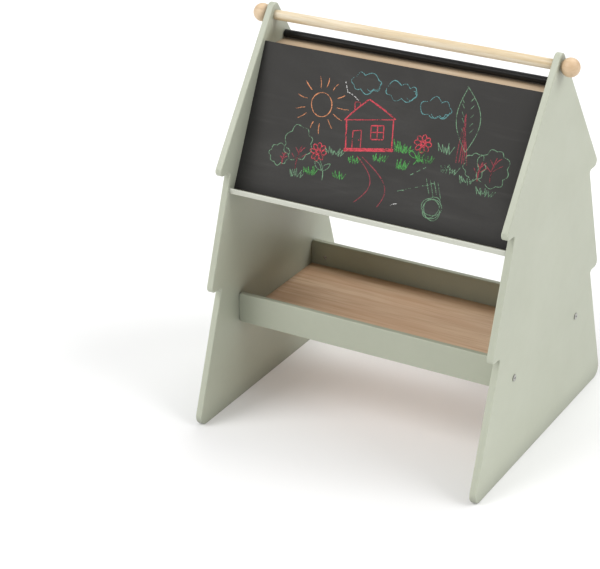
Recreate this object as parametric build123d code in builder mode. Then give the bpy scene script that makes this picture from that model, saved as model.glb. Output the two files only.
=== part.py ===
from build123d import *
import os
from math import asin, atan2, cos, hypot, radians, sin, tan

# Children's floor easel. Two tree-shaped side panels carry a chalkboard, a magnetic whiteboard,
# two pencil ledges, a top slat, a toy bin, a paper roll rod and a paper guide bar.
# X runs from the left panel to the right one, Y from the chalkboard side to the whiteboard side,
# and Z is up. The origin is on the floor, midway between the panels. Sizes are in millimetres.

SIDES = (-1, 1)  # left, right
FACINGS = (-1, 1)  # chalkboard side, whiteboard side
SEATED = (Align.CENTER, Align.CENTER, Align.MIN)
HUNG = (Align.CENTER, Align.CENTER, Align.MAX)

# Side panels: corners are (distance from the centre line, height)
INNER_WIDTH = 650.0
PANEL_THICKNESS = 15.0
UPPER_TIP = (245.0, 558.0)
UPPER_NOTCH = (195.0, 558.0)
LOWER_TIP = (282.0, 302.0)
LOWER_NOTCH = (238.5, 302.0)
BASE_CORNER = (342.5, 0.0)
APEX_RADIUS = 15.5
EDGE_TO_ROD_AXIS = 22.0
TIP_RADIUS = 12.0
NOTCH_RADIUS = 5.0
BASE_RADIUS = 22.0
EDGE_ROUND = 2.5
GROOVE_DEPTH = 5.0

# Boards: both lean in towards the apex, and their edges stand in the panels' grooves
BOARD_LEAN = 25.0  # degrees from vertical
BOARD_THICKNESS = 5.0
BOARD_TOP_DISTANCE = 45.5
CHALKBOARD_TOP_Z = 810.0
STEEL_THICKNESS = 0.6
BOARD_PLAY = 0.3

# Rails: the two ledges, the top slat and the bin walls are cut from the same board
RAIL_THICKNESS = 12.0

# Ledges: a rail with a routed groove that holds the board's foot and the pencils
LEDGE_FRONT = 201.0
LEDGE_BACK = 136.0
LEDGE_BOTTOM_Z = 511.0
LIP_THICKNESS = 4.5
PENCIL_GROOVE_BACK = 172.0
PENCIL_GROOVE_DEPTH = 8.0
PENCIL_GROOVE_ROUND = 2.5
LIP_ROUND = 2.0

# Top slat between the two boards
SLAT_TOP_Z = 793.0

# Paper guide bar, turning in blind sockets in the panels
GUIDE_Y = 38.0
GUIDE_Z = 803.0
GUIDE_RADIUS = 8.5
GUIDE_END_GAP = 1.2
GUIDE_END_CHAMFER = 1.0
SPIGOT_RADIUS = 5.0
SPIGOT_LENGTH = 7.0
SOCKET_DEPTH = 8.0

# Paper roll rod and its two ball knobs
ROD_Z = 855.0
ROD_RADIUS = 11.0
ROD_OVERHANG = 2.5
ROD_BORE_PLAY = 0.08
KNOB_RADIUS = 20.0
KNOB_CENTRE_OVERHANG = 18.0
SCREW_RADIUS = 3.0
SCREW_IN_ROD = 25.0
SCREW_IN_KNOB = 14.0
INSERT_RADIUS = 4.5
INSERT_LENGTH = 13.0
KNOB_FACE_GAP = 0.2

# Toy bin
BIN_WALL_CENTRE = 164.0
BIN_WALL_BOTTOM_Z = 191.0
BIN_WALL_TOP_Z = 261.0
BIN_FLOOR_TOP_Z = 202.0
BIN_FLOOR_THICKNESS = 6.0
BIN_FLOOR_INSET = 5.0
BIN_EDGE_ROUND = 2.0
BIN_CORNER_RADIUS = 7.0
BIN_BOLT_Z = 223.0
BIN_DOWEL_Z = 248.0

# Fasteners
BOLT_RADIUS = 3.0
BOLT_HEAD_RADIUS = 7.5
BOLT_HEAD_HEIGHT = 2.2
BOLT_HEAD_ROUND = 1.2
BOLT_LENGTH = 57.0
BOLT_SOCKET_RADIUS = 2.3
BOLT_SOCKET_DEPTH = 1.6
BARREL_NUT_RADIUS = 5.0
BARREL_NUT_LENGTH = 9.0
BARREL_NUT_SETBACK = 36.0
NUT_SLOT = (7.0, 1.2, 1.5)
DOWEL_RADIUS = 3.0
DOWEL_IN_PANEL = 10.0
DOWEL_IN_RAIL = 20.0
DOWEL_CHAMFER = 0.8
CAM_RADIUS = 6.0
CAM_HEIGHT = 10.5
CAM_SETBACK = 24.0
CAM_CHANNEL_RADIUS = 3.4
CAM_CROSS = (6.5, 1.4, 1.6)
PIN_THREAD_RADIUS = 2.5
PIN_SHANK_RADIUS = 2.5
PIN_HEAD_RADIUS = 3.0
PIN_HEAD_LENGTH = 3.0
PIN_IN_PANEL = 10.0
HOLE_PLAY = 0.05  # radial
HOLE_END_PLAY = 0.5
LEDGE_CAM_DISTANCE = 158.0
LEDGE_DOWEL_DISTANCE = 143.0
SLAT_DOWEL_DISTANCE = 30.0

# Derived places
HALF_WIDTH = INNER_WIDTH / 2
OUTER_FACE = HALF_WIDTH + PANEL_THICKNESS
LEAN = radians(BOARD_LEAN)
LEDGE_TOP_Z = LEDGE_BOTTOM_Z + RAIL_THICKNESS
LEDGE_MIDDLE_Z = LEDGE_BOTTOM_Z + RAIL_THICKNESS / 2
PENCIL_GROOVE_FLOOR_Z = LEDGE_TOP_Z - PENCIL_GROOVE_DEPTH
SLAT_BOTTOM_Z = SLAT_TOP_Z - RAIL_THICKNESS
SLAT_MIDDLE_Z = SLAT_BOTTOM_Z + RAIL_THICKNESS / 2
BOARD_BOTTOM_Z = PENCIL_GROOVE_FLOOR_Z + BOARD_THICKNESS * sin(LEAN)
WHITEBOARD_TOP_Z = SLAT_TOP_Z + BOARD_THICKNESS * sin(LEAN)
BOARD_WIDTH = INNER_WIDTH + 2 * (GROOVE_DEPTH - BOARD_PLAY)
KNOB_CENTRE = OUTER_FACE + KNOB_CENTRE_OVERHANG
ROD_END = OUTER_FACE + ROD_OVERHANG
BIN_INNER_FACE = BIN_WALL_CENTRE - RAIL_THICKNESS / 2
PIN_LENGTH = CAM_SETBACK - CAM_CHANNEL_RADIUS

dowel_spots = [(facing * LEDGE_DOWEL_DISTANCE, LEDGE_MIDDLE_Z) for facing in FACINGS]
dowel_spots += [(facing * SLAT_DOWEL_DISTANCE, SLAT_MIDDLE_Z) for facing in FACINGS]
dowel_spots += [(facing * BIN_WALL_CENTRE, BIN_DOWEL_Z) for facing in FACINGS]
cam_spots = [(facing * LEDGE_CAM_DISTANCE, LEDGE_BOTTOM_Z) for facing in FACINGS]
cam_spots += [(0.0, SLAT_BOTTOM_Z)]
bolt_spots = [(facing * BIN_WALL_CENTRE, BIN_BOLT_Z) for facing in FACINGS]


def pin_height(cam_base_z):
    """Height of the connecting pin of a cam that sits in a rail's underside."""
    return cam_base_z + RAIL_THICKNESS / 2


def outward(side, distance, y, z):
    """Location at a distance from the middle, with its own Z axis pointing away from the middle."""
    return Location((side * distance, y, z), (0, 90 * side, 0))


def both_sides(distance, spots):
    """Outward locations of these (y, z) spots on the left and on the right."""
    return [outward(side, distance, y, z) for side in SIDES for y, z in spots]


def board_face_distance(z):
    """Distance of the boards' outer faces from the centre line at a height."""
    return BOARD_TOP_DISTANCE + (CHALKBOARD_TOP_Z - z) * tan(LEAN)


def board_section(facing, top_z, under, thickness, play=0.0):
    """Draw a leaning layer edge on, its outer side this far under the board's outer face."""
    middle_z = (top_z + BOARD_BOTTOM_Z) / 2
    depth = under + thickness / 2
    centre_y = facing * (board_face_distance(middle_z) - depth * cos(LEAN))
    length = (top_z - BOARD_BOTTOM_Z) / cos(LEAN)
    with Locations((centre_y, middle_z - depth * sin(LEAN))):
        Rectangle(thickness + play, length + play, rotation=facing * BOARD_LEAN)


def near(*spots):
    """Pick the outline's corners at these (distance, height) spots, on both sides of the middle."""
    return lambda corner: any(hypot(abs(corner.X) - y, corner.Y - z) < 0.01 for y, z in spots)


def save(piece, node):
    """Label a finished piece and write its STEP file."""
    piece.part.label = node
    export_step(piece.part, f"parts/{node}.step")


os.makedirs("parts", exist_ok=True)

# ---------------------------------------------------------------- side panels
# The upper edges pass the rod's axis at the same distance and meet in a rounded apex above it.
tip_rise = ROD_Z - UPPER_TIP[1]
edge_angle = atan2(UPPER_TIP[0], tip_rise) - asin(EDGE_TO_ROD_AXIS / hypot(UPPER_TIP[0], tip_rise))
apex = (0.0, ROD_Z + EDGE_TO_ROD_AXIS / sin(edge_angle))
tree_edge = (apex, UPPER_TIP, UPPER_NOTCH, LOWER_TIP, LOWER_NOTCH, BASE_CORNER)

for side, node in zip(SIDES, ("left_side_panel", "right_side_panel")):
    inner_plane = Plane.YZ.offset(side * HALF_WIDTH)
    with BuildPart() as side_panel:
        with BuildSketch(inner_plane) as outline:
            with BuildLine():
                Polyline(*tree_edge)
                mirror(about=Plane.YZ)
                Line((-BASE_CORNER[0], 0), BASE_CORNER)
            make_face()
            fillet(outline.vertices().filter_by(near(apex)), APEX_RADIUS)
            fillet(outline.vertices().filter_by(near(UPPER_TIP, LOWER_TIP)), TIP_RADIUS)
            fillet(outline.vertices().filter_by(near(UPPER_NOTCH, LOWER_NOTCH)), NOTCH_RADIUS)
            fillet(outline.vertices().filter_by(near(BASE_CORNER)), BASE_RADIUS)
        extrude(amount=side * PANEL_THICKNESS)
        fillet(side_panel.faces().filter_by(Axis.X).edges(), EDGE_ROUND)
        with BuildSketch(inner_plane):
            board_section(-1, CHALKBOARD_TOP_Z, 0.0, BOARD_THICKNESS, BOARD_PLAY)
            board_section(1, WHITEBOARD_TOP_Z, 0.0, BOARD_THICKNESS, BOARD_PLAY)
        extrude(amount=side * GROOVE_DEPTH, mode=Mode.SUBTRACT)
        with Locations(outward(side, HALF_WIDTH, 0, ROD_Z)):
            Cylinder(ROD_RADIUS + ROD_BORE_PLAY, PANEL_THICKNESS, align=SEATED, mode=Mode.SUBTRACT)
        with Locations(outward(side, HALF_WIDTH, GUIDE_Y, GUIDE_Z)):
            Cylinder(SPIGOT_RADIUS + HOLE_PLAY, SOCKET_DEPTH, align=SEATED, mode=Mode.SUBTRACT)
        with Locations([outward(side, HALF_WIDTH, y, z) for y, z in bolt_spots]):
            Cylinder(BOLT_RADIUS + HOLE_END_PLAY, PANEL_THICKNESS, align=SEATED, mode=Mode.SUBTRACT)
        with Locations([outward(side, HALF_WIDTH, y, z) for y, z in dowel_spots]):
            Cylinder(
                DOWEL_RADIUS + HOLE_PLAY, DOWEL_IN_PANEL + HOLE_END_PLAY, align=SEATED, mode=Mode.SUBTRACT
            )
        with Locations([outward(side, HALF_WIDTH, y, pin_height(z)) for y, z in cam_spots]):
            pin_hole_depth = PIN_IN_PANEL + HOLE_END_PLAY
            Cylinder(PIN_THREAD_RADIUS + HOLE_PLAY, pin_hole_depth, align=SEATED, mode=Mode.SUBTRACT)
    save(side_panel, node)

# ---------------------------------------------------------------- boards
with BuildPart() as chalkboard:
    with BuildSketch(Plane.YZ):
        board_section(-1, CHALKBOARD_TOP_Z, 0.0, BOARD_THICKNESS)
    extrude(amount=BOARD_WIDTH / 2, both=True)
save(chalkboard, "chalkboard")

with BuildPart() as whiteboard_backing:
    with BuildSketch(Plane.YZ):
        board_section(1, WHITEBOARD_TOP_Z, STEEL_THICKNESS, BOARD_THICKNESS - STEEL_THICKNESS)
    extrude(amount=BOARD_WIDTH / 2, both=True)
save(whiteboard_backing, "whiteboard_backing")

with BuildPart() as whiteboard_steel_face:
    with BuildSketch(Plane.YZ):
        board_section(1, WHITEBOARD_TOP_Z, 0.0, STEEL_THICKNESS)
    extrude(amount=BOARD_WIDTH / 2, both=True)
save(whiteboard_steel_face, "whiteboard_steel_face")


# ---------------------------------------------------------------- rails
def drill_rail(dowels, cams):
    """Cut the rail's end holes for dowels and cam pins, and the cam pockets in its underside."""
    with Locations(both_sides(HALF_WIDTH, dowels)):
        Cylinder(
            DOWEL_RADIUS + HOLE_PLAY, DOWEL_IN_RAIL + HOLE_END_PLAY, align=HUNG, mode=Mode.SUBTRACT
        )
    with Locations(both_sides(HALF_WIDTH, [(y, pin_height(z)) for y, z in cams])):
        Cylinder(PIN_HEAD_RADIUS + HOLE_END_PLAY, CAM_SETBACK, align=HUNG, mode=Mode.SUBTRACT)
    with Locations([(side * (HALF_WIDTH - CAM_SETBACK), y, z) for side in SIDES for y, z in cams]):
        Cylinder(CAM_RADIUS + HOLE_PLAY, CAM_HEIGHT + HOLE_PLAY, align=SEATED, mode=Mode.SUBTRACT)


for facing, node in zip(FACINGS, ("chalkboard_ledge", "whiteboard_ledge")):
    lip_back = LEDGE_FRONT - LIP_THICKNESS
    section = (
        (LEDGE_FRONT, LEDGE_BOTTOM_Z),
        (LEDGE_FRONT, LEDGE_TOP_Z),
        (lip_back, LEDGE_TOP_Z),
        (lip_back, PENCIL_GROOVE_FLOOR_Z),
        (PENCIL_GROOVE_BACK, PENCIL_GROOVE_FLOOR_Z),
        (PENCIL_GROOVE_BACK, LEDGE_TOP_Z),
        (LEDGE_BACK, LEDGE_TOP_Z),
        (LEDGE_BACK, LEDGE_BOTTOM_Z),
    )
    with BuildPart() as ledge:
        with BuildSketch(Plane.YZ) as ledge_section:
            with BuildLine():
                Polyline(*[(facing * y, z) for y, z in section], close=True)
            make_face()
            groove_corner = near((lip_back, PENCIL_GROOVE_FLOOR_Z))
            fillet(ledge_section.vertices().filter_by(groove_corner), PENCIL_GROOVE_ROUND)
            lip_corners = near(section[0], section[1], section[2])
            fillet(ledge_section.vertices().filter_by(lip_corners), LIP_ROUND)
        extrude(amount=HALF_WIDTH, both=True)
        drill_rail(
            [(facing * LEDGE_DOWEL_DISTANCE, LEDGE_MIDDLE_Z)],
            [(facing * LEDGE_CAM_DISTANCE, LEDGE_BOTTOM_Z)],
        )
    save(ledge, node)

with BuildPart() as top_slat:
    board_inset = BOARD_THICKNESS / cos(LEAN)
    half_top = board_face_distance(SLAT_TOP_Z) - board_inset
    half_bottom = board_face_distance(SLAT_BOTTOM_Z) - board_inset
    with BuildSketch(Plane.YZ):
        with BuildLine():
            Polyline(
                (-half_bottom, SLAT_BOTTOM_Z),
                (half_bottom, SLAT_BOTTOM_Z),
                (half_top, SLAT_TOP_Z),
                (-half_top, SLAT_TOP_Z),
                close=True,
            )
        make_face()
    extrude(amount=HALF_WIDTH, both=True)
    slat_dowels = [(facing * SLAT_DOWEL_DISTANCE, SLAT_MIDDLE_Z) for facing in FACINGS]
    drill_rail(slat_dowels, [(0.0, SLAT_BOTTOM_Z)])
save(top_slat, "top_slat")

# ---------------------------------------------------------------- toy bin
for facing, node in zip(FACINGS, ("bin_front_wall", "bin_rear_wall")):
    wall_height = BIN_WALL_TOP_Z - BIN_WALL_BOTTOM_Z
    with BuildPart() as bin_wall:
        with Locations((0, facing * BIN_WALL_CENTRE, BIN_WALL_BOTTOM_Z)):
            Box(INNER_WIDTH, RAIL_THICKNESS, wall_height, align=SEATED)
        fillet(bin_wall.edges().filter_by(Axis.Y), BIN_CORNER_RADIUS)
        fillet(bin_wall.faces().filter_by(Axis.Y).edges(), BIN_EDGE_ROUND)
        groove_reach = 2 * (BIN_FLOOR_INSET + BOARD_PLAY)
        groove_z = BIN_FLOOR_TOP_Z - BIN_FLOOR_THICKNESS / 2
        with Locations((0, facing * BIN_INNER_FACE, groove_z)):
            Box(INNER_WIDTH, groove_reach, BIN_FLOOR_THICKNESS + BOARD_PLAY, mode=Mode.SUBTRACT)
        with Locations(both_sides(HALF_WIDTH, [(facing * BIN_WALL_CENTRE, BIN_DOWEL_Z)])):
            Cylinder(
                DOWEL_RADIUS + HOLE_PLAY, DOWEL_IN_RAIL + HOLE_END_PLAY, align=HUNG, mode=Mode.SUBTRACT
            )
        with Locations(both_sides(HALF_WIDTH, [(facing * BIN_WALL_CENTRE, BIN_BOLT_Z)])):
            bolt_reach = BOLT_LENGTH - PANEL_THICKNESS + HOLE_END_PLAY
            Cylinder(BOLT_RADIUS + HOLE_END_PLAY, bolt_reach, align=HUNG, mode=Mode.SUBTRACT)
        nut_hole_bottom = BIN_WALL_CENTRE + BARREL_NUT_LENGTH / 2
        nut_hole_depth = nut_hole_bottom - BIN_INNER_FACE
        nut_hole_middle = facing * (nut_hole_bottom - nut_hole_depth / 2)
        nut_x = HALF_WIDTH - BARREL_NUT_SETBACK
        nut_holes = [(side * nut_x, nut_hole_middle, BIN_BOLT_Z) for side in SIDES]
        with Locations([Location(centre, (90, 0, 0)) for centre in nut_holes]):
            Cylinder(BARREL_NUT_RADIUS + HOLE_PLAY, nut_hole_depth, mode=Mode.SUBTRACT)
    save(bin_wall, node)

with BuildPart() as bin_floor:
    floor_depth = 2 * (BIN_INNER_FACE + BIN_FLOOR_INSET)
    with Locations((0, 0, BIN_FLOOR_TOP_Z)):
        Box(INNER_WIDTH - BOARD_PLAY, floor_depth, BIN_FLOOR_THICKNESS, align=HUNG)
save(bin_floor, "bin_floor")

# ---------------------------------------------------------------- paper guide bar
with BuildPart() as paper_guide_bar:
    with Locations(Location((0, GUIDE_Y, GUIDE_Z), (0, 90, 0))):
        Cylinder(GUIDE_RADIUS, INNER_WIDTH - 2 * GUIDE_END_GAP)
    chamfer(paper_guide_bar.edges().filter_by(GeomType.CIRCLE), GUIDE_END_CHAMFER)
    with Locations(both_sides(HALF_WIDTH - GUIDE_END_GAP, [(GUIDE_Y, GUIDE_Z)])):
        Cylinder(SPIGOT_RADIUS, GUIDE_END_GAP + SPIGOT_LENGTH, align=SEATED)
save(paper_guide_bar, "paper_guide_bar")

# ---------------------------------------------------------------- paper roll rod and knobs
with BuildPart() as paper_roll_rod:
    with Locations(Location((0, 0, ROD_Z), (0, 90, 0))):
        Cylinder(ROD_RADIUS, 2 * ROD_END)
    with Locations(both_sides(ROD_END, [(0, ROD_Z)])):
        Cylinder(SCREW_RADIUS + HOLE_PLAY, SCREW_IN_ROD + HOLE_END_PLAY, align=HUNG, mode=Mode.SUBTRACT)
save(paper_roll_rod, "paper_roll_rod")

with BuildPart() as left_knob:
    with Locations((-KNOB_CENTRE, 0, ROD_Z)):
        Sphere(KNOB_RADIUS)
    split(bisect_by=Plane.YZ.offset(-ROD_END), keep=Keep.BOTTOM)
    with Locations(outward(-1, ROD_END, 0, ROD_Z)):
        Cylinder(SCREW_RADIUS + HOLE_PLAY, SCREW_IN_KNOB + HOLE_END_PLAY, align=SEATED, mode=Mode.SUBTRACT)
save(left_knob, "left_knob")

knob_face = ROD_END + KNOB_FACE_GAP
with BuildPart() as right_knob:
    with Locations((KNOB_CENTRE, 0, ROD_Z)):
        Sphere(KNOB_RADIUS)
    split(bisect_by=Plane.YZ.offset(knob_face), keep=Keep.TOP)
    with Locations(outward(1, knob_face, 0, ROD_Z)):
        Cylinder(INSERT_RADIUS + HOLE_PLAY, INSERT_LENGTH, align=SEATED, mode=Mode.SUBTRACT)
        Cylinder(SCREW_RADIUS + HOLE_END_PLAY, SCREW_IN_KNOB + 1, align=SEATED, mode=Mode.SUBTRACT)
save(right_knob, "right_knob")

with BuildPart() as right_knob_insert:
    with Locations(outward(1, knob_face, 0, ROD_Z)):
        Cylinder(INSERT_RADIUS, INSERT_LENGTH, align=SEATED)
        Cylinder(SCREW_RADIUS + HOLE_PLAY, INSERT_LENGTH, align=SEATED, mode=Mode.SUBTRACT)
save(right_knob_insert, "right_knob_insert")

for side, node in zip(SIDES, ("left_knob_screw", "right_knob_stud")):
    with BuildPart() as knob_screw:
        with Locations(outward(side, ROD_END - SCREW_IN_ROD, 0, ROD_Z)):
            Cylinder(SCREW_RADIUS, SCREW_IN_ROD + SCREW_IN_KNOB, align=SEATED)
        chamfer(knob_screw.edges().filter_by(GeomType.CIRCLE), DOWEL_CHAMFER)
    save(knob_screw, node)

# ---------------------------------------------------------------- fasteners
with BuildPart() as bin_bolts:
    for spot in both_sides(OUTER_FACE, bolt_spots):
        with Locations(spot):
            Cylinder(BOLT_HEAD_RADIUS, BOLT_HEAD_HEIGHT, align=SEATED)
            Cylinder(BOLT_RADIUS, BOLT_LENGTH, align=HUNG)
    rims = bin_bolts.edges().filter_by(GeomType.CIRCLE)
    outer_rims = rims.group_by(lambda rim: round(abs(rim.center().X), 1))[-1]
    fillet(outer_rims, BOLT_HEAD_ROUND)
    for spot in both_sides(OUTER_FACE + BOLT_HEAD_HEIGHT, bolt_spots):
        with BuildSketch(Plane(spot)):
            RegularPolygon(BOLT_SOCKET_RADIUS, 6)
        extrude(amount=-BOLT_SOCKET_DEPTH, mode=Mode.SUBTRACT)
save(bin_bolts, "bin_bolts")

with BuildPart() as bin_barrel_nuts:
    slot_length, slot_width, slot_depth = NUT_SLOT
    for side in SIDES:
        for facing in FACINGS:
            centre = (side * (HALF_WIDTH - BARREL_NUT_SETBACK), facing * BIN_WALL_CENTRE, BIN_BOLT_Z)
            with Locations(Location(centre, (90, 0, 0))):
                Cylinder(BARREL_NUT_RADIUS, BARREL_NUT_LENGTH)
            with Locations(Location(centre, (0, 90, 0))):
                Cylinder(BOLT_RADIUS + HOLE_PLAY, 2 * BARREL_NUT_RADIUS, mode=Mode.SUBTRACT)
            slot_y = facing * (BIN_WALL_CENTRE - BARREL_NUT_LENGTH / 2)
            with Locations((centre[0], slot_y, BIN_BOLT_Z)):
                Box(slot_length, 2 * slot_depth, slot_width, mode=Mode.SUBTRACT)
save(bin_barrel_nuts, "bin_barrel_nuts")

with BuildPart() as wooden_dowels:
    with Locations(both_sides(HALF_WIDTH - DOWEL_IN_RAIL, dowel_spots)):
        Cylinder(DOWEL_RADIUS, DOWEL_IN_RAIL + DOWEL_IN_PANEL, align=SEATED)
    chamfer(wooden_dowels.edges().filter_by(GeomType.CIRCLE), DOWEL_CHAMFER)
save(wooden_dowels, "wooden_dowels")

with BuildPart() as cam_locks:
    cross_length, cross_width, cross_depth = CAM_CROSS
    for side in SIDES:
        for y, z in cam_spots:
            centre_x = side * (HALF_WIDTH - CAM_SETBACK)
            with Locations((centre_x, y, z)):
                Cylinder(CAM_RADIUS, CAM_HEIGHT, align=SEATED)
                Box(cross_length, cross_width, 2 * cross_depth, mode=Mode.SUBTRACT)
                Box(cross_width, cross_length, 2 * cross_depth, mode=Mode.SUBTRACT)
            with Locations(outward(side, HALF_WIDTH - CAM_SETBACK, y, pin_height(z))):
                Cylinder(CAM_CHANNEL_RADIUS, CAM_RADIUS, align=SEATED, mode=Mode.SUBTRACT)
                Sphere(CAM_CHANNEL_RADIUS, mode=Mode.SUBTRACT)
save(cam_locks, "cam_locks")

with BuildPart() as cam_pins:
    for spot in both_sides(HALF_WIDTH, [(y, pin_height(z)) for y, z in cam_spots]):
        with Locations(spot):
            Cylinder(PIN_THREAD_RADIUS, PIN_IN_PANEL, align=SEATED)
            Cylinder(PIN_SHANK_RADIUS, PIN_LENGTH, align=HUNG)
    for spot in both_sides(HALF_WIDTH - PIN_LENGTH, [(y, pin_height(z)) for y, z in cam_spots]):
        with Locations(spot):
            Cylinder(PIN_HEAD_RADIUS, PIN_HEAD_LENGTH, align=SEATED)
save(cam_pins, "cam_pins")
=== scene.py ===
import math
import random

import bmesh
import bpy
from mathutils import Euler, Matrix, Vector, noise


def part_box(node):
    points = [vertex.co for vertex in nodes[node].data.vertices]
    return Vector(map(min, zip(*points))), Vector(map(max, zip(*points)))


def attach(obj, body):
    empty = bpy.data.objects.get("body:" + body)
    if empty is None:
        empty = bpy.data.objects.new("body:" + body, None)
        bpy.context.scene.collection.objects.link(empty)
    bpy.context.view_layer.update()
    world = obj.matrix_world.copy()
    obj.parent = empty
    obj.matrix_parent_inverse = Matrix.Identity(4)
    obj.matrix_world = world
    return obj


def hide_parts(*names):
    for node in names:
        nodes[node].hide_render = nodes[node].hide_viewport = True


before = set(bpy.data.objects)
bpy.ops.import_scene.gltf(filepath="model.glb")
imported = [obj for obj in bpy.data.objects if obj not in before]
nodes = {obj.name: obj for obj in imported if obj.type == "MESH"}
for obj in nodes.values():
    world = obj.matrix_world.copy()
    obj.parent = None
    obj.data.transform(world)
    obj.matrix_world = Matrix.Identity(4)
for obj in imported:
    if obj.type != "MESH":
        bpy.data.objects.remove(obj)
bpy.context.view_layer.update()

# ---------------------------------------------------------------- colours


def screen(red, green, blue):
    """The linear colour of an 8-bit screen colour, by the sRGB curve."""
    def linear(channel):
        share = channel / 255
        return share / 12.92 if share < 0.04 else ((share + 0.055) / 1.055) ** 2.4
    return (linear(red), linear(green), linear(blue), 1.0)


def shade(colour, share):
    """The colour made darker or lighter by a share."""
    return tuple(min(1.0, channel * share) for channel in colour[:3]) + (1.0,)


SAGE = (0.45, 0.472, 0.378, 1.0)
# The bin's walls have the panels' sage paint, made darker here as painted shade.
SAGE_SHADED_BIN = (0.405, 0.425, 0.335, 1.0)
# The ledge has the panels' sage paint, made paler here as a painted highlight.
SAGE_LIT_LEDGE = (0.57, 0.582, 0.505, 1.0)
BOARD_BLACK = (0.031, 0.0293, 0.027, 1.0)
RAW_EDGE = screen(228, 210, 186)
PALE_WOOD = screen(230, 219, 196)
PALE_WOOD_DARK = screen(212, 190, 152)
KNOB_WOOD = screen(226, 202, 170)
KNOB_WOOD_DARK = screen(208, 178, 142)
PLY_WOOD = screen(200, 183, 158)
PLY_WOOD_DARK = screen(178, 154, 125)
BIN_WOOD = screen(222, 192, 160)
BIN_WOOD_DARK = screen(200, 160, 126)
HARDBOARD_BROWN = screen(150, 112, 78)
LACQUER_BLACK = (0.012, 0.012, 0.0125, 1.0)
ENAMEL_WHITE = (0.86, 0.87, 0.87, 1.0)
CHALK_DUST = screen(190, 188, 184)
CHALK_COLOURS = {
    "orange": screen(226, 150, 104),
    "teal": screen(104, 164, 166),
    "red": screen(214, 74, 88),
    "dark_red": screen(160, 66, 78),
    "green": screen(120, 160, 127),
    "bright_green": screen(84, 168, 84),
    "white": screen(232, 232, 230),
}
GHOST_BLUE = screen(188, 196, 206)
PALER_BLACK = (0.075, 0.075, 0.076, 1.0)
ZINC = (0.62, 0.64, 0.67, 1.0)
CAST_ZINC = (0.46, 0.47, 0.49, 1.0)
NICKEL = (0.46, 0.455, 0.43, 1.0)
BRASS = (0.74, 0.56, 0.28, 1.0)
WHITE = (1.0, 1.0, 1.0, 1.0)

# ---------------------------------------------------------------- materials
# Noise scales are in cells per metre and bump heights in metres. The two numbers after a
# pattern in levels() are where in its range of 0 to 1 the result starts and stops rising.


class Finish:
    """A material under construction, with short names for the shader nodes that it is made of."""

    def __init__(self, name, roughness, metallic=0.0):
        self.material = bpy.data.materials.new(name)
        self.material.use_nodes = True
        self.tree = self.material.node_tree
        self.shader = self.tree.nodes["Principled BSDF"]
        self.shader.inputs["Roughness"].default_value = roughness
        self.shader.inputs["Metallic"].default_value = metallic
        self.place = self.node("TexCoord").outputs["Object"]

    def feed(self, socket, value):
        """Link an output to this socket, or set the socket to a constant."""
        if isinstance(value, bpy.types.NodeSocket):
            self.tree.links.new(value, socket)
        else:
            socket.default_value = value

    def node(self, kind, inputs=None, **settings):
        made = self.tree.nodes.new("ShaderNode" + kind)
        for key, value in settings.items():
            setattr(made, key, value)
        for key, value in (inputs or {}).items():
            self.feed(made.inputs[key], value)
        return made

    def stretched(self, x, y, z):
        """Object coordinates, scaled differently along the three axes."""
        return self.node("Mapping", {"Vector": self.place, "Scale": (x, y, z)}).outputs["Vector"]

    def noise(self, scale, detail=3.0, distortion=0.0, vector=None):
        inputs = {"Vector": vector or self.place, "Scale": scale}
        inputs.update({"Detail": detail, "Distortion": distortion})
        return self.node("TexNoise", inputs).outputs["Fac"]

    def levels(self, value, low, high, least=0.0, most=1.0):
        """The value, spread from low..high to least..most and kept inside them."""
        inputs = {"Value": value, "From Min": low, "From Max": high}
        inputs.update({"To Min": least, "To Max": most})
        return self.node("MapRange", inputs).outputs["Result"]

    def plus(self, first, second):
        return self.node("Math", {0: first, 1: second}, operation="ADD").outputs["Value"]

    def times(self, first, second):
        return self.node("Math", {0: first, 1: second}, operation="MULTIPLY").outputs["Value"]

    def alignment(self, first, second):
        """1 where two directions are the same, 0 where they are square to each other."""
        made = self.node("VectorMath", {0: first, 1: second}, operation="DOT_PRODUCT")
        return made.outputs["Value"]

    def mix(self, factor, first, second):
        """The first colour where the factor is 0 and the second where it is 1."""
        mixer = self.tree.nodes.new("ShaderNodeMix")
        mixer.data_type = "RGBA"
        self.feed(mixer.inputs[0], factor)
        self.feed(mixer.inputs[6], first)
        self.feed(mixer.inputs[7], second)
        return mixer.outputs[2]

    def edges(self, radius):
        """1 along the piece's edges, where a bevel would turn the normal, and 0 on its faces."""
        rounded = self.node("Bevel", {"Radius": radius}, samples=4).outputs["Normal"]
        normal = self.node("NewGeometry").outputs["Normal"]
        return self.levels(self.alignment(rounded, normal), 0.995, 0.9)

    def facing(self, direction, low, high):
        """1 on faces that look along the direction, fading to 0 as they turn away from it."""
        normal = self.node("TexCoord").outputs["Normal"]
        return self.levels(self.alignment(normal, tuple(direction)), low, high)

    def with_painted_shade(self, coat, reach, share, dark):
        """The coat, with a share of the dark colour painted into corners and recesses within this
        reach: painted shade, found by ambient occlusion.
        """
        openness = self.node("AmbientOcclusion", {"Distance": reach}, samples=6).outputs["AO"]
        depth = self.levels(openness, 0.95, 0.35)
        return self.mix(self.times(depth, share), coat, dark)

    def colour(self, value):
        self.feed(self.shader.inputs["Base Color"], value)

    def roughness(self, pattern, least, most):
        """Let the roughness wander between two values with a noise, mostly within 0.3 to 0.7."""
        self.feed(self.shader.inputs["Roughness"], self.levels(pattern, 0.3, 0.7, least, most))

    def bumps(self, *layers):
        """Raise the surface by layers: each a height from 0 to 1, and how many metres 1 is."""
        below = None
        for height, distance in layers:
            bump = self.node("Bump", {"Height": height, "Distance": distance, "Strength": 1.0})
            if below is not None:
                self.feed(bump.inputs["Normal"], below)
            below = bump.outputs["Normal"]
        self.feed(self.shader.inputs["Normal"], below)


UP = (0, 0, 1)
WORN_AND_LIT_EDGE_WIDTH = 0.0035


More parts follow.
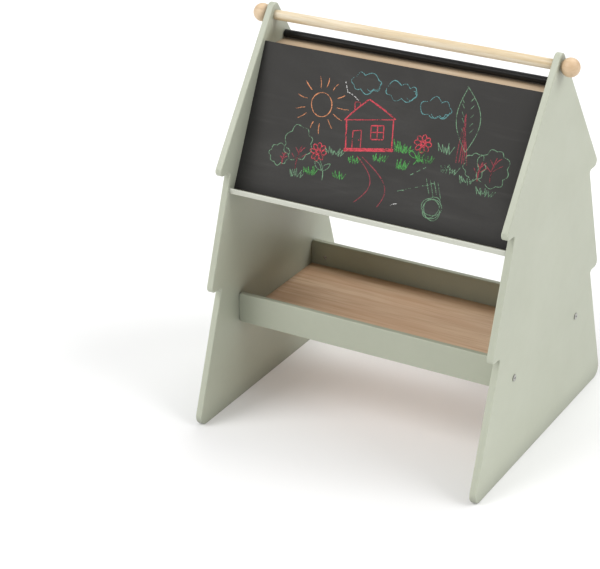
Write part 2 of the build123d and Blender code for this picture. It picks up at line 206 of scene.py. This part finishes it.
def painted(name, colour):
    """Satin paint on fibreboard: faint clouds, flecks, paler edges, scuffs, and painted shade in
    corners.
    """
    finish = Finish(name, roughness=0.45)
    clouds = finish.levels(finish.noise(3.0, detail=4), 0.35, 0.65)
    coat = finish.mix(clouds, shade(colour, 0.975), shade(colour, 1.025))
    flecks = finish.levels(finish.noise(60.0), 0.4, 0.6)
    coat = finish.mix(finish.times(flecks, 0.12), coat, shade(colour, 1.08))
    # Paler edges: partly rubbed paint, partly a painted highlight where the rounded edges catch the
    # light.
    edge_patches = finish.levels(finish.noise(35.0), 0.3, 0.55)
    paler_share = finish.times(finish.edges(WORN_AND_LIT_EDGE_WIDTH), edge_patches)
    coat = finish.mix(finish.times(paler_share, 0.7), coat, shade(colour, 1.32))
    scuffs = finish.noise(18.0, detail=6, distortion=1.2, vector=finish.stretched(1.0, 1.6, 7.0))
    coat = finish.mix(finish.levels(scuffs, 0.68, 0.76, most=0.18), coat, shade(colour, 0.8))
    # Painted shade: the paint darkens in corners and recesses, by ambient occlusion.
    finish.colour(finish.with_painted_shade(coat, reach=0.05, share=0.55, dark=shade(colour, 0.45)))
    finish.roughness(finish.noise(9.0), 0.4, 0.52)
    stipple = finish.noise(900.0, detail=2)
    waves = finish.noise(160.0, detail=2)
    finish.bumps((stipple, 0.00006), (waves, 0.00008))
    return finish


def dusty_painted(name, colour):
    """The paint of a ledge, with chalk dust settled on its upper faces."""
    finish = painted(name, colour)
    coat = finish.shader.inputs["Base Color"].links[0].from_socket
    grain = finish.levels(finish.noise(70.0, detail=8), 0.5, 0.72)
    dust = finish.times(finish.facing(UP, 0.5, 1.0), grain)
    finish.colour(finish.mix(finish.times(dust, 0.4), coat, CHALK_DUST))
    return finish


def chalkboard_paint(name, front):
    """Matt black chalk paint with wiped dust on the front, and raw wood on the other faces."""
    finish = Finish(name, roughness=0.8)
    wiped = finish.noise(3.2, detail=4, distortion=1.6, vector=finish.stretched(0.8, 2.0, 2.0))
    fine = finish.levels(finish.noise(170.0), 0.3, 0.8, least=0.6)
    dust = finish.times(finish.levels(wiped, 0.45, 0.75), fine)
    face = finish.mix(finish.times(dust, 0.035), BOARD_BLACK, CHALK_DUST)
    swipes = finish.noise(26.0, detail=2, distortion=0.4, vector=finish.stretched(0.25, 2.6, 2.6))
    face = finish.mix(finish.levels(swipes, 0.55, 0.8, most=0.02), face, CHALK_DUST)
    # Painted shade: the board darkens near the panels and the ledge, by ambient occlusion.
    face = finish.with_painted_shade(face, reach=0.045, share=0.95, dark=shade(BOARD_BLACK, 0.25))
    fibres = finish.noise(50.0, detail=5, vector=finish.stretched(0.5, 9.0, 9.0))
    edge = finish.mix(finish.levels(fibres, 0.35, 0.65), shade(RAW_EDGE, 0.9), RAW_EDGE)
    finish.colour(finish.mix(finish.facing(front, 0.6, 0.8), edge, face))
    tooth = finish.noise(700.0)
    waves = finish.noise(30.0, detail=2)
    finish.bumps((tooth, 0.00005), (waves, 0.00012))
    return finish


def wood(name, light, dark, roughness=0.42, pitch=1.0):
    """Clear-lacquered wood with its grain along X. A higher pitch sets the grain closer."""
    finish = Finish(name, roughness)
    streaks = finish.noise(340.0 * pitch, detail=5, vector=finish.stretched(0.05, 1.0, 1.0))
    bands = finish.noise(55.0 * pitch, distortion=0.8, vector=finish.stretched(0.06, 1.0, 1.0))
    patches = finish.noise(16.0, detail=2, vector=finish.stretched(0.5, 1.0, 1.0))
    coat = finish.mix(finish.levels(bands, 0.38, 0.66), light, dark)
    coat = finish.mix(finish.levels(streaks, 0.5, 0.72, most=0.6), coat, shade(dark, 0.86))
    coat = finish.mix(finish.levels(patches, 0.4, 0.7, most=0.4), coat, shade(dark, 1.05))
    # Painted shade: the wood darkens in corners and recesses, such as where a knob meets a panel,
    # by ambient occlusion.
    finish.colour(finish.with_painted_shade(coat, reach=0.02, share=0.65, dark=shade(dark, 0.35)))
    finish.roughness(streaks, roughness - 0.05, roughness + 0.1)
    finish.bumps((streaks, 0.00008), (bands, 0.0001))
    return finish


def black_lacquer(name):
    """Satin black lacquer, a little paler along its upper faces."""
    finish = Finish(name, roughness=0.36)
    finish.shader.inputs["Specular IOR Level"].default_value = 0.25
    grain = finish.noise(300.0, detail=4, vector=finish.stretched(0.05, 1.0, 1.0))
    paler_share = finish.times(finish.facing(UP, 0.3, 1.0), finish.levels(grain, 0.35, 0.65))
    finish.colour(finish.mix(finish.times(paler_share, 0.12), LACQUER_BLACK, PALER_BLACK))
    finish.roughness(finish.noise(40.0), 0.32, 0.42)
    finish.bumps((grain, 0.00006))
    return finish


def hardboard(name):
    """Pressed wood fibre, brown with pale and dark fibres."""
    finish = Finish(name, roughness=0.75)
    fibres = finish.noise(160.0, detail=8, distortion=2.0, vector=finish.stretched(1.0, 2.5, 1.4))
    cells = finish.node("TexVoronoi", {"Vector": finish.place, "Scale": 420.0})
    pale, dark = shade(HARDBOARD_BROWN, 1.12), shade(HARDBOARD_BROWN, 0.8)
    finish.colour(finish.mix(finish.levels(fibres, 0.35, 0.65), dark, pale))
    finish.bumps((fibres, 0.00015), (cells.outputs["Distance"], 0.0002))
    return finish


def enamel(name):
    """Glossy dry-wipe enamel with the faint ghosts of wiped marker."""
    finish = Finish(name, roughness=0.16)
    ghosts = finish.noise(5.0, detail=6, distortion=2.2, vector=finish.stretched(0.7, 1.8, 1.8))
    ghost_share = finish.levels(ghosts, 0.52, 0.75, most=0.12)
    finish.colour(finish.mix(ghost_share, ENAMEL_WHITE, GHOST_BLUE))
    finish.roughness(finish.noise(22.0), 0.12, 0.24)
    finish.bumps((finish.noise(120.0, detail=1), 0.00003))
    return finish


def metal(name, colour, roughness):
    """Plated or cast metal with fine tool marks, a little tarnish and painted shade in its
    recesses.
    """
    finish = Finish(name, roughness, metallic=1.0)
    marks = finish.noise(1500.0)
    tarnish = finish.levels(finish.noise(160.0, detail=4), 0.45, 0.7)
    coat = finish.mix(finish.times(tarnish, 0.3), colour, shade(colour, 0.7))
    # Painted shade: hollows such as a bolt's socket go nearly black, by ambient occlusion.
    finish.colour(finish.with_painted_shade(coat, reach=0.006, share=0.95, dark=shade(colour, 0.06)))
    finish.roughness(marks, roughness - 0.08, roughness + 0.14)
    finish.bumps((marks, 0.00003))
    return finish


def chalk(name, colour):
    """A chalk mark: powder that catches the board's tooth, so the black shows through in specks."""
    finish = Finish(name, roughness=0.95)
    tooth = finish.noise(650.0)
    pressure = finish.noise(45.0, detail=2)
    cover = finish.plus(tooth, finish.times(pressure, 0.6))
    powder = finish.mix(finish.levels(tooth, 0.4, 0.7), shade(colour, 0.85), shade(colour, 1.1))
    finish.colour(finish.mix(finish.levels(cover, 0.66, 0.82), BOARD_BLACK, powder))
    finish.bumps((tooth, 0.0001))
    return finish


# The face that is drawn on is the chalkboard's big face on the front side.
board = nodes["chalkboard"].data
board_face = min(board.polygons, key=lambda face: round(face.normal.y, 3) - face.area)
BOARD_FRONT = board_face.normal.copy()

panel_paint = painted("sage_panel_paint", SAGE)
# Painted shade: the bin walls get a darker copy of the sage paint.
bin_shaded_paint = painted("sage_shaded_bin_wall_paint", SAGE_SHADED_BIN)
# Painted highlight: the ledges get a paler copy of the sage paint.
ledge_lit_paint = dusty_painted("sage_paint_lit_for_ledge", SAGE_LIT_LEDGE)
rod_wood = wood("rod_wood", PALE_WOOD, PALE_WOOD_DARK)
knob_wood = wood("knob_wood", KNOB_WOOD, KNOB_WOOD_DARK, pitch=0.7)
ply_wood = wood("ply_wood", PLY_WOOD, PLY_WOOD_DARK, roughness=0.5, pitch=0.6)
bin_wood = wood("bin_wood", BIN_WOOD, BIN_WOOD_DARK, roughness=0.5, pitch=0.6)
dowel_wood = wood("dowel_wood", PLY_WOOD, PLY_WOOD_DARK, roughness=0.7, pitch=1.5)
zinc = metal("zinc_plating", ZINC, roughness=0.32)

finishes = {
    "left_side_panel": panel_paint,
    "right_side_panel": panel_paint,
    "chalkboard": chalkboard_paint("chalkboard_paint", BOARD_FRONT),
    "whiteboard_backing": hardboard("hardboard"),
    "whiteboard_steel_face": enamel("white_enamel"),
    "chalkboard_ledge": ledge_lit_paint,
    "whiteboard_ledge": ledge_lit_paint,
    "top_slat": ply_wood,
    "bin_front_wall": bin_shaded_paint,
    "bin_rear_wall": bin_shaded_paint,
    "bin_floor": bin_wood,
    "paper_guide_bar": black_lacquer("black_lacquer"),
    "paper_roll_rod": rod_wood,
    "left_knob": knob_wood,
    "right_knob": knob_wood,
    "left_knob_screw": zinc,
    "right_knob_insert": metal("brass", BRASS, roughness=0.3),
    "bin_bolts": metal("nickel_plating", NICKEL, roughness=0.38),
    "bin_barrel_nuts": zinc,
    "wooden_dowels": dowel_wood,
    "cam_locks": metal("cast_zinc", CAST_ZINC, roughness=0.45),
    "cam_pins": zinc,
}
for node, finish in finishes.items():
    for material_slot in nodes[node].material_slots:
        material_slot.material = finish.material

# ---------------------------------------------------------------- pieces made here
TAU = 2 * math.pi


def piece_from(shape, name, body, finish):
    """Turn a bmesh into a piece that rides on a body."""
    mesh = bpy.data.meshes.new(name)
    shape.to_mesh(mesh)
    shape.free()
    mesh.materials.append(finish.material)
    made = bpy.data.objects.new(name, mesh)
    bpy.context.scene.collection.objects.link(made)
    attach(made, body)
    return made


def skin(shape, rings):
    """Faces from each ring of points to the next, and one over each end."""
    for first, second in zip(rings, rings[1:]):
        for step in range(len(first)):
            after = (step + 1) % len(first)
            shape.faces.new((first[step], first[after], second[after], second[step]))
    shape.faces.new(rings[0][::-1])
    shape.faces.new(rings[-1])


THREAD_PITCH = 0.001
THREAD_DEPTH_SHARE = 0.55
POINTS_AROUND = 32
RINGS_PER_TURN = 8


def threaded_stud(name, node, body, finish):
    """A threaded rod along X in place of a plain one: a winding ridge that fades at its ends."""
    low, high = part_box(node)
    radius = (high.z - low.z) / 2
    middle = (low + high) / 2
    rings = round((high.x - low.x) / THREAD_PITCH * RINGS_PER_TURN)
    depth = THREAD_PITCH * THREAD_DEPTH_SHARE
    shape = bmesh.new()
    loops = []
    for ring in range(rings + 1):
        x = low.x + (high.x - low.x) * ring / rings
        from_end = min(x - low.x, high.x - x)
        loop = []
        for step in range(POINTS_AROUND):
            angle = TAU * step / POINTS_AROUND
            turn = (x / THREAD_PITCH + step / POINTS_AROUND) % 1.0
            ridge = radius - depth * abs(2 * turn - 1)
            out = min(ridge, radius - depth + from_end)
            y = middle.y + out * math.cos(angle)
            z = middle.z + out * math.sin(angle)
            loop.append(shape.verts.new((x, y, z)))
        loops.append(loop)
    skin(shape, loops)
    bmesh.ops.recalc_face_normals(shape, faces=shape.faces)
    made = piece_from(shape, name, body, finish)
    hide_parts(node)


threaded_stud("knob_stud_thread", "right_knob_stud", "roll_rod", zinc)

# ---------------------------------------------------------------- chalk drawing
# A child's drawing of common things. Places are (across, up) on the board: metres from the
# board's middle line, and up its slope from the top of the ledge. Each motif yields its
# strokes, one by one: a path of such places, and the width of the chalk line.
chance = random.Random(11)
ledge_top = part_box("chalkboard_ledge")[1].z
face_points = [board.vertices[index].co for index in board_face.vertices]
BOARD_UP = Vector((0.0, -BOARD_FRONT.z, BOARD_FRONT.y)).normalized()
BOARD_UP = BOARD_UP if BOARD_UP.z > 0 else -BOARD_UP
BOARD_ORIGIN = face_points[0].copy()
BOARD_ORIGIN.x = 0.0
BOARD_ORIGIN += BOARD_UP * ((ledge_top - BOARD_ORIGIN.z) / BOARD_UP.z)
MARK_HEIGHT = 0.00018
MARK_STEP = 0.0016
ARC_STEPS = 12
OVAL_STEPS = 64
FOOTPATH_STEPS = 24


def on_board(across, up, height=0.0):
    """The point at this place on the board."""
    return BOARD_ORIGIN + Vector((across, 0, 0)) + BOARD_UP * up + BOARD_FRONT * height


def resampled(path):
    """The path with points at even steps."""
    points = [Vector(point) for point in path]
    out = [points[0]]
    for start, end in zip(points, points[1:]):
        count = max(1, round((end - start).length / MARK_STEP))
        out += [start.lerp(end, (step + 1) / count) for step in range(count)]
    return out


def add_mark(shape, path, width):
    """One stroke of chalk: a thin strip on the board with ragged sides and faded ends."""
    points = resampled(path)
    seed = chance.uniform(0, 100)
    last = len(points) - 1
    rings = []
    for index, point in enumerate(points):
        ahead = points[min(last, index + 1)] - points[max(0, index - 1)]
        ahead = ahead.normalized() if ahead.length else Vector((1, 0))
        side = Vector((-ahead.y, ahead.x))
        pressure = 0.85 + 0.6 * noise.noise(Vector((index * 0.19, seed, 0)))
        fade = min(1.0, 0.45 + 0.3 * min(index, last - index))
        ragged = [0.25 * noise.noise(Vector((index * 0.9, seed, row))) for row in (3.0, 7.0)]
        half = width / 2 * pressure * fade
        left = point + side * half * (1 + ragged[0])
        right = point - side * half * (1 + ragged[1])
        crest = [(left.lerp(right, share), MARK_HEIGHT) for share in (0.25, 0.75)]
        section = [(left, 0.0)] + crest + [(right, 0.0)]
        places = [on_board(place.x, place.y, height) for place, height in section]
        rings.append([shape.verts.new(place) for place in places])
    skin(shape, rings)


def wobble(size):
    """A random shift of at most this size, either way."""
    return chance.uniform(-size, size)


def arc_path(start, end, sag):
    """A line from start to end that bows sideways by sag."""
    start, end = Vector(start), Vector(end)
    side = Vector((start.y - end.y, end.x - start.x)).normalized()
    shares = [step / ARC_STEPS for step in range(ARC_STEPS + 1)]
    return [start.lerp(end, share) + side * sag * math.sin(math.pi * share) for share in shares]


def oval_path(centre, wide, high, overlap=0.2, tilt=0.0):
    """An oval drawn by an unsteady hand, which overshoots its start by an angle."""
    start, phase = chance.uniform(0, TAU), chance.uniform(0, TAU)
    turned = Matrix.Rotation(tilt, 2)
    out = []
    for step in range(OVAL_STEPS + 1):
        angle = start + (TAU + overlap) * step / OVAL_STEPS
        unsteady = 1 + 0.05 * math.sin(2 * angle + phase) + 0.03 * math.sin(step * 0.23 + phase)
        point = Vector((wide / 2 * math.cos(angle), high / 2 * math.sin(angle))) * unsteady
        out.append(Vector(centre) + turned @ point)
    return out


def lobed_path(centre, wide, high, lobes, start, sweep=TAU):
    """The outline of a cloud or a bush: uneven round lobes that bulge from an oval."""
    shares = [1 + wobble(0.35) for _ in range(lobes)]
    angle = start
    corners = []
    for share in [0.0] + shares:
        angle += sweep * share / sum(shares)
        reach = 1 + wobble(0.06)
        offset = Vector((wide / 2 * math.cos(angle), high / 2 * math.sin(angle))) * reach
        corners.append(Vector(centre) + offset)
    out = []
    for first, second in zip(corners, corners[1:]):
        bulge = (0.36 + wobble(0.08)) * (second - first).length
        out += arc_path(first, second, -bulge)
    return out


def sketched(path, width):
    """A line gone over twice, the second time a little off."""
    yield path, width
    shift = Vector((wobble(0.0012), wobble(0.0012)))
    yield [Vector(point) + shift for point in path], width * 0.8


def tilted(strokes, pivot, angle):
    """The same strokes, turned about a point."""
    turn = Matrix.Rotation(angle, 2)
    for path, width in strokes:
        yield [Vector(pivot) + turn @ (Vector(point) - Vector(pivot)) for point in path], width


def sun(centre, radius, rays):
    """A round sun with rays that stand off it."""
    yield oval_path(centre, 2 * radius, 1.9 * radius), 0.0021
    for ray in range(rays):
        direction = Matrix.Rotation(TAU * ray / rays + wobble(0.1), 2) @ Vector((1, 0))
        near = Vector(centre) + direction * radius * (1.45 + wobble(0.12))
        far = Vector(centre) + direction * radius * (2.5 + wobble(0.3))
        yield arc_path(near, far, wobble(0.0015)), 0.0022


def cloud(centre, wide, high, start):
    """A lobed outline, with three more lobes inside it."""
    yield lobed_path(centre, wide, high, 7, start, TAU * 0.97), 0.0017
    inner = (centre[0] + wide * 0.04, centre[1])
    yield lobed_path(inner, wide * 0.9, high * 0.8, 3, start + 2.2, TAU * 0.3), 0.0015


def bush(centre, wide, high, start):
    """A lobed outline, left open a little."""
    yield lobed_path(centre, wide, high, 8, start, TAU * 0.96), 0.0018


def branches(base, height):
    """A short trunk with side branches."""
    top = (base[0] + height * 0.1, base[1] + height)
    yield from sketched(arc_path(base, top, height * 0.06), 0.0024)
    for share, reach in ((0.35, -0.34), (0.45, 0.36), (0.62, -0.24), (0.72, 0.24)):
        knot = (base[0] + height * 0.1 * share, base[1] + height * share)
        tip = (knot[0] + height * reach, knot[1] + height * 0.28)
        yield arc_path(knot, tip, wobble(0.002)), 0.002


def flower(centre, radius, petals):
    """A middle drawn as two rings, and a ring of oval petals."""
    for ring in (0.5, 0.34):
        yield oval_path(centre, radius * ring, radius * ring), 0.0021
    for petal in range(petals):
        angle = TAU * petal / petals + wobble(0.08)
        middle = Vector(centre) + Vector((math.cos(angle), math.sin(angle))) * radius * 0.68
        yield oval_path(middle, radius * (0.66 + wobble(0.08)), radius * 0.46, 0.4, angle), 0.0022


def stem(top, base):
    """A stalk with two leaves."""
    yield arc_path(top, base, 0.004), 0.002
    middle = (Vector(top) + Vector(base)) / 2
    for side in (-1, 1):
        tip = middle + Vector((side * 0.019, 0.015 + wobble(0.003)))
        yield arc_path(middle, tip, 0.005), 0.0018
        yield arc_path(middle, tip, -0.005), 0.0018


def grass(base, wide, tall, blades):
    """A tuft scribbled up and down in one go, with a few loose blades."""
    scribble = []
    for blade in range(blades):
        foot = base[0] + wide * (blade / (blades - 1) - 0.5)
        lean = (foot - base[0]) * 0.5 + wobble(0.003)
        scribble.append((foot + wobble(0.001), base[1] + wobble(0.002)))
        scribble.append((foot + lean + 0.002, base[1] + tall * (1 + wobble(0.35))))
    yield scribble, 0.0016
    for _ in range(blades // 2):
        foot = base[0] + wobble(wide * 0.5)
        tip = (foot + wobble(0.004), base[1] + tall * (1 + wobble(0.4)))
        yield [(foot, base[1] - 0.002), tip], 0.0018


def house(corner, wide, high):
    """Walls, a gabled roof, a chimney, a door and a cross-barred window."""
    x, y = corner
    right, eaves = x + wide, y + high
    yield from sketched([(x, y), (x - 0.001, eaves)], 0.0026)
    yield from sketched([(right, y), (right + 0.001, eaves)], 0.0026)
    yield from sketched([(x - 0.006, eaves), (right + 0.006, eaves + 0.001)], 0.0021)
    peak = (x + wide * 0.46, eaves + high * 0.72)
    yield from sketched(arc_path((x - 0.006, eaves), peak, 0.0015), 0.0026)
    yield from sketched(arc_path(peak, (right + 0.006, eaves + 0.001), 0.001), 0.003)
    flue = x + wide * 0.16
    chimney = [(0, 0.3), (0, 0.62), (0.012, 0.62), (0.012, 0.46)]
    yield [(flue + across, eaves + high * up) for across, up in chimney], 0.0023
    for row in range(4):
        low = y - 0.0016 * row
        yield [(x - 0.004, low), (right + 0.004, low + wobble(0.001))], 0.0028
    door = x + wide * 0.14
    frame_line = [(0, 0), (0.001, 0.62), (0.02, 0.64), (0.02, 0)]
    yield [(door + across, y + high * up) for across, up in frame_line], 0.0022
    yield oval_path((door + 0.015, y + high * 0.3), 0.002, 0.002), 0.0014
    left, sill, size = x + wide * 0.54, y + high * 0.33, 0.029
    square = [(0, 0), (0, size), (size, size), (size, 0), (0, 0)]
    yield from sketched([(left + across, sill + up) for across, up in square], 0.002)
    yield [(left + size / 2, sill), (left + size / 2, sill + size)], 0.0023
    yield [(left, sill + size / 2), (left + size, sill + size / 2)], 0.0023


def footpath(top, foot, wide_top, wide_foot):
    """Two lines that sway down from the door and spread apart."""
    for side in (-1, 1):
        out = []
        for step in range(FOOTPATH_STEPS + 1):
            share = step / FOOTPATH_STEPS
            middle = top[0] + (foot[0] - top[0]) * share + 0.035 * math.sin(math.pi * share)
            half = (wide_top + (wide_foot - wide_top) * share) / 2
            out.append((middle + side * half, top[1] + (foot[1] - top[1]) * share))
        yield out, 0.002


def tall_crown(foot, wide, high):
    """The leaf-shaped outline of a tall tree, pointed at the top, with short veins."""
    tip = (foot[0] - wide * 0.42, foot[1] + high)
    yield arc_path(foot, tip, wide * 0.42), 0.0018
    yield arc_path(foot, (tip[0] - 0.002, tip[1] + 0.003), -wide * 0.55), 0.0018
    for row in range(5):
        share = 0.3 + 0.12 * row
        for side in (-1, 1):
            reach = side * wide * 0.12
            across = foot[0] - wide * 0.42 * share + reach
            up = foot[1] + high * share + wobble(0.004)
            yield [(across, up), (across + reach, up + high * 0.07)], 0.0016


def tall_trunk(foot, height):
    """Five strokes side by side, the middle one tallest."""
    strokes = ((-0.009, 0.72), (-0.004, 0.95), (0.001, 1.0), (0.005, 0.84), (0.01, 0.58))
    for offset, reach in strokes:
        top = (foot[0] - height * 0.12 * reach + offset * 0.3, foot[1] + height * reach)
        root = (foot[0] + offset * 1.3, foot[1] + wobble(0.003))
        yield arc_path(root, top, wobble(0.002)), 0.0022


def doodle(centre, radius):
    """Ovals drawn round and round in one place."""
    for turn in range(4):
        place = (centre[0] + wobble(0.003), centre[1] + wobble(0.003))
        size = 2 * radius * (1 - 0.06 * turn)
        yield oval_path(place, size, size * (0.66 + 0.09 * turn), 0.6, 0.9 * turn), 0.0015


def dashes(start, step, count, length):
    """Short strokes in a row, each as long and as steep as the length says."""
    for index in range(count):
        place = Vector(start) + Vector(step) * index
        yield arc_path(place, place + Vector(length) * (1 + wobble(0.3)), wobble(0.001)), 0.0016


HOUSE_CORNER = (-0.084, 0.126)
HOUSE_TILT = 0.17

# The colours of chalk, and the motifs that each one draws.
drawing = {
    "orange": [sun((-0.16, 0.206), radius=0.0255, rays=13)],
    "teal": [
        cloud((-0.068, 0.268), 0.068, 0.03, 2.6),
        cloud((0.016, 0.263), 0.07, 0.026, 2.9),
        cloud((0.098, 0.243), 0.068, 0.03, 2.2),
    ],
    "red": [
        tilted(house(HOUSE_CORNER, 0.106, 0.06), HOUSE_CORNER, HOUSE_TILT),
        flower((-0.144, 0.107), radius=0.019, petals=8),
        flower((0.088, 0.168), radius=0.019, petals=8),
    ],
    "dark_red": [
        footpath((-0.048, 0.116), (-0.012, 0.02), 0.012, 0.054),
        branches((-0.19, 0.062), 0.05),
        branches((-0.224, 0.066), 0.026),
        tall_trunk((0.18, 0.142), 0.104),
        branches((0.222, 0.116), 0.04),
        branches((0.25, 0.118), 0.052),
    ],
    "green": [
        bush((-0.196, 0.116), 0.058, 0.068, 5.0),
        bush((-0.234, 0.086), 0.042, 0.038, 1.2),
        grass((-0.186, 0.046), 0.022, 0.014, 5),
        stem((-0.136, 0.09), (-0.122, 0.05)),
        grass((-0.108, 0.108), 0.032, 0.013, 7),
        tall_crown((0.184, 0.168), 0.056, 0.13),
        bush((0.25, 0.146), 0.06, 0.07, 4.4),
        bush((0.21, 0.144), 0.04, 0.052, 0.6),
        grass((0.138, 0.158), 0.024, 0.016, 5),
        grass((0.156, 0.12), 0.03, 0.014, 6),
        grass((0.198, 0.106), 0.022, 0.012, 5),
        grass((0.244, 0.09), 0.03, 0.013, 6),
        doodle((0.136, 0.042), 0.0245),
        dashes((0.112, 0.1), (0.009, -0.001), 4, (0.011, -0.026)),
        dashes((0.054, 0.062), (0.017, 0.007), 5, (0.013, 0.004)),
        dashes((0.074, 0.1), (0.013, 0.009), 3, (0.008, 0.006)),
    ],
    "bright_green": [
        grass((-0.156, 0.058), 0.024, 0.018, 6),
        grass((-0.088, 0.062), 0.02, 0.012, 5),
        grass((0.044, 0.142), 0.03, 0.018, 8),
        stem((0.082, 0.15), (0.076, 0.122)),
        grass((0.098, 0.13), 0.028, 0.016, 7),
        grass((0.05, 0.108), 0.02, 0.015, 6),
        grass((-0.06, 0.1), 0.02, 0.012, 5),
        grass((-0.002, 0.114), 0.024, 0.012, 6),
    ],
    "white": [
        dashes((-0.115, 0.264), (0.0034, -0.0078), 3, (0.0024, -0.0066)),
        dashes((-0.104, 0.243), (0.0072, -0.0034), 4, (0.0056, -0.0026)),
        dashes((0.044, 0.03), (0.03, 0.03), 1, (0.014, 0.006)),
    ],
}
for colour, motifs in drawing.items():
    marks = bmesh.new()
    for motif in motifs:
        for path, width in motif:
            add_mark(marks, path, width)
    bmesh.ops.recalc_face_normals(marks, faces=marks.faces)
    powder = chalk("chalk_" + colour, CHALK_COLOURS[colour])
    piece_from(marks, "chalk_marks_" + colour, "frame", powder)

# ---------------------------------------------------------------- floor, light and camera
FLOOR_REACH = 14.0
FLOOR_CELLS = 8
FLOOR_GLOW = 0.1
FLOOR_TONES = ((0.79, 0.79, 0.79, 1.0), (0.81, 0.81, 0.81, 1.0))


def studio_floor():
    """A plain pale floor with a barely visible texture."""
    shape = bmesh.new()
    bmesh.ops.create_grid(shape, x_segments=FLOOR_CELLS, y_segments=FLOOR_CELLS, size=FLOOR_REACH)
    mesh = bpy.data.meshes.new("studio_floor")
    shape.to_mesh(mesh)
    shape.free()
    finish = Finish("studio_floor", roughness=0.9)
    finish.shader.inputs["Emission Color"].default_value = WHITE
    finish.shader.inputs["Emission Strength"].default_value = FLOOR_GLOW
    finish.colour(finish.mix(finish.noise(2.0), *FLOOR_TONES))
    mesh.materials.append(finish.material)
    made = bpy.data.objects.new("studio_floor", mesh)
    bpy.context.scene.collection.objects.link(made)


def soft_sun(name, azimuth, elevation, strength, softness):
    """A broad light far away, its angles in degrees.

    Azimuth 0 is in front of the chalkboard and 90 on its right."""
    light = bpy.data.lights.new(name, "SUN")
    light.energy = strength
    light.angle = math.radians(softness)
    made = bpy.data.objects.new(name, light)
    made.rotation_euler = (math.radians(90 - elevation), 0, math.radians(azimuth))
    bpy.context.scene.collection.objects.link(made)


studio_floor()
soft_sun("left_key_light", azimuth=-42, elevation=43, strength=1.9, softness=40)
soft_sun("right_key_light", azimuth=104, elevation=43, strength=1.6, softness=40)
soft_sun("fill_light", azimuth=40, elevation=50, strength=0.45, softness=60)
soft_sun("back_light", azimuth=180, elevation=55, strength=1.1, softness=40)

# The surroundings look white, but light the easel only softly.
SURROUND_GLOW = 0.22
world = bpy.data.worlds.new("studio")
bpy.context.scene.world = world
world.use_nodes = True
sky, join = world.node_tree.nodes, world.node_tree.links.new
surround = sky["Background"]
surround.inputs["Color"].default_value = WHITE
surround.inputs["Strength"].default_value = SURROUND_GLOW
seen_surround = sky.new("ShaderNodeBackground")
seen_surround.inputs["Color"].default_value = WHITE
seen_surround.inputs["Strength"].default_value = 1.0
choice = sky.new("ShaderNodeMixShader")
light_path = sky.new("ShaderNodeLightPath")
join(light_path.outputs["Is Camera Ray"], choice.inputs["Fac"])
join(surround.outputs["Background"], choice.inputs[1])
join(seen_surround.outputs["Background"], choice.inputs[2])
join(choice.outputs["Shader"], sky["World Output"].inputs["Surface"])
bpy.context.scene.view_settings.view_transform = "Standard"

# The camera stands in front of the chalkboard, to the right, and looks down at the easel.
CAMERA_PLACE = (1.7377, -3.4855, 2.1637)
CAMERA_AZIMUTH = 29.184
CAMERA_ELEVATION = 25.568
CAMERA_ROLL = -0.233
CAMERA_LENS = 117.65
CAMERA_SENSOR = 36.0
CAMERA_SHIFT = (-0.0366, -0.0104)
CAMERA_REACH = 60.0

camera = bpy.data.cameras.new("camera")
camera.lens = CAMERA_LENS
camera.sensor_width = CAMERA_SENSOR
camera.shift_x, camera.shift_y = CAMERA_SHIFT
camera.clip_end = CAMERA_REACH
camera_object = bpy.data.objects.new("camera", camera)
turns = (math.radians(90 - CAMERA_ELEVATION), 0, math.radians(CAMERA_AZIMUTH))
look = Euler(turns, "XYZ").to_matrix()
roll = Matrix.Rotation(math.radians(-CAMERA_ROLL), 3, "Z")
camera_object.matrix_world = Matrix.Translation(CAMERA_PLACE) @ (look @ roll).to_4x4()
bpy.context.scene.collection.objects.link(camera_object)
bpy.context.scene.camera = camera_object
